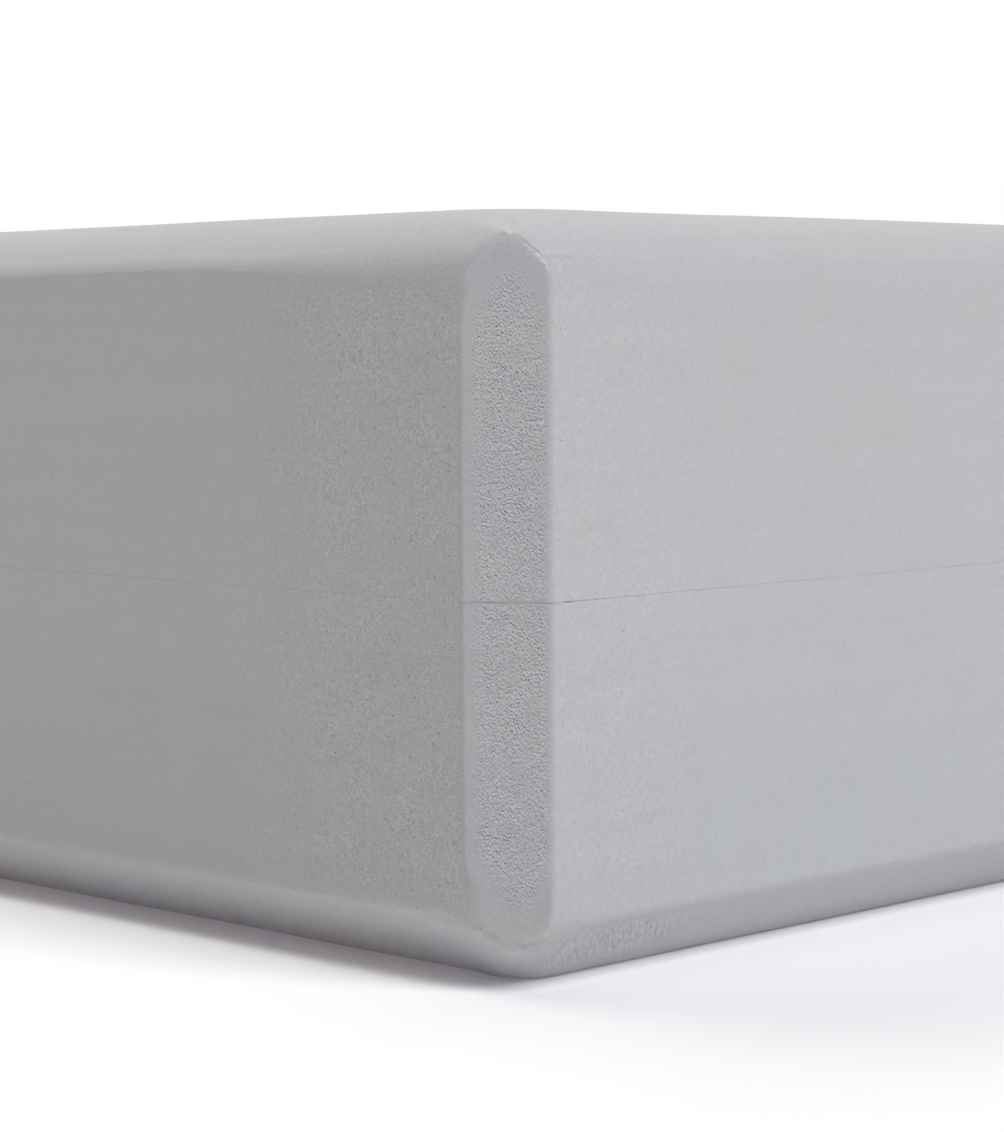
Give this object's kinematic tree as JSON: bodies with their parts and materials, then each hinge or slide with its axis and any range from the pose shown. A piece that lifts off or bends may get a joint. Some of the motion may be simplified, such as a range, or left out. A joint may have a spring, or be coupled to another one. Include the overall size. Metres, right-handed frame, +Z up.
{
  "type": "yoga block",
  "caption": "Rectangular laminated foam block with bevelled edges and cut-off upright corners, a firm light prop that raises the floor or supports the body in yoga and stretching.",
  "frame": {"origin": "centre of the base, on the surface that the block lies on", "axes": "+X along the length, +Y across the width, +Z up through the thickness"},
  "size_m": [0.2286, 0.1524, 0.1016],
  "materials": {
    "foam": "matte closed-cell foam, light grey, fine open cells where it is cut",
    "glue": "dried contact adhesive, dull grey"
  },
  "bodies": {
    "root": {"lower_foam_slab": "foam", "upper_foam_slab": "foam", "glue_film": "glue"}
  },
  "joints": []
}
